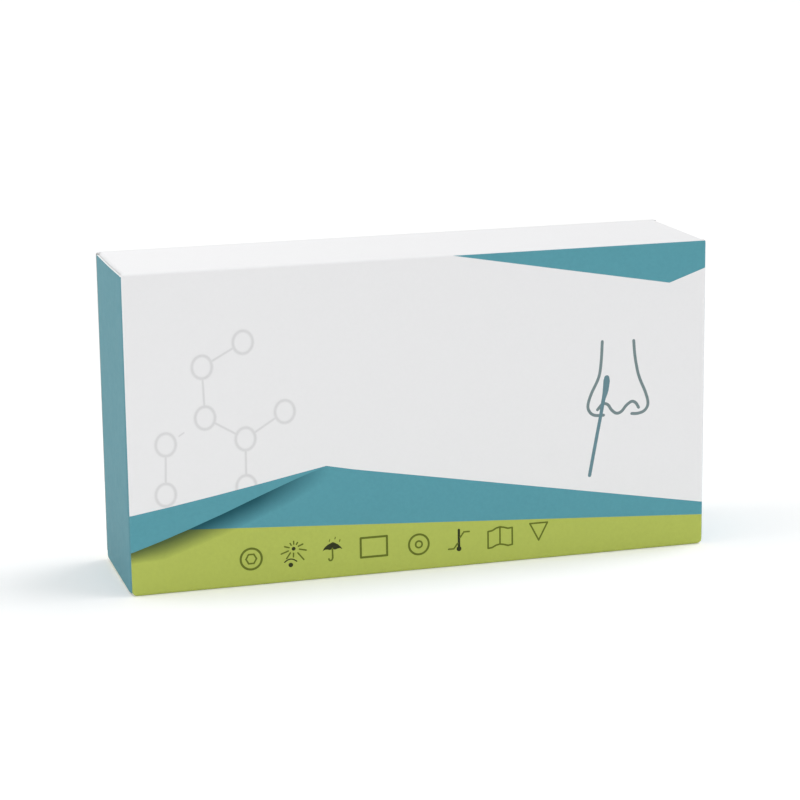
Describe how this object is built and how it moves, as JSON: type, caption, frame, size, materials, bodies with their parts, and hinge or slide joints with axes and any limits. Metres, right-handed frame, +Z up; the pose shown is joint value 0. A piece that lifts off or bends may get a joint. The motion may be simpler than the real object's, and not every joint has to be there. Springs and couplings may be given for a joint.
{
  "type": "folding carton of a lateral flow test kit",
  "caption": "Closed tuck-end folding carton for a home test kit, standing on its long side, with tucked end flaps that swing open and the sealed kit pieces inside.",
  "frame": {"origin": "middle of the resting face, which is the bottom panel's outside", "axes": "+X along the carton's length to the right as the printed front is read, +Y from the printed front panel to the back panel, +Z up"},
  "size_m": [0.165, 0.039, 0.088],
  "materials": {
    "printed_board": "coated folding board, satin print varnish, white with teal and green fields",
    "closure_board": "coated folding board, satin print varnish, teal outside, uncoated grey-white inside",
    "foil_laminate": "white and silver foil laminate, crumpled, heat-sealed margin",
    "peel_pack": "paper back and clear film front",
    "tube_plastic": "translucent moulded polyethylene",
    "cap_plastic": "moulded, natural white",
    "leaflet_paper": "thin uncoated paper, folded"
  },
  "bodies": {
    "carton": {"carton_body": "printed_board", "test_pouch": "foil_laminate", "swab_pack": "peel_pack", "buffer_tube": "tube_plastic", "dropper_cap": "cap_plastic", "leaflet": "leaflet_paper"},
    "left_closure": {"left_tuck_flap": "closure_board"},
    "right_closure": {"right_tuck_flap": "closure_board"}
  },
  "joints": [
    {"name": "left_closure_hinge", "type": "hinge", "parent": "carton", "child": "left_closure", "pos_m": [-0.0825, -0.0195, 0.044], "axis": [0, 0, 1], "range_deg": [0, 120]},
    {"name": "right_closure_hinge", "type": "hinge", "parent": "carton", "child": "right_closure", "pos_m": [0.0825, -0.0195, 0.044], "axis": [0, 0, -1], "range_deg": [0, 120]}
  ]
}
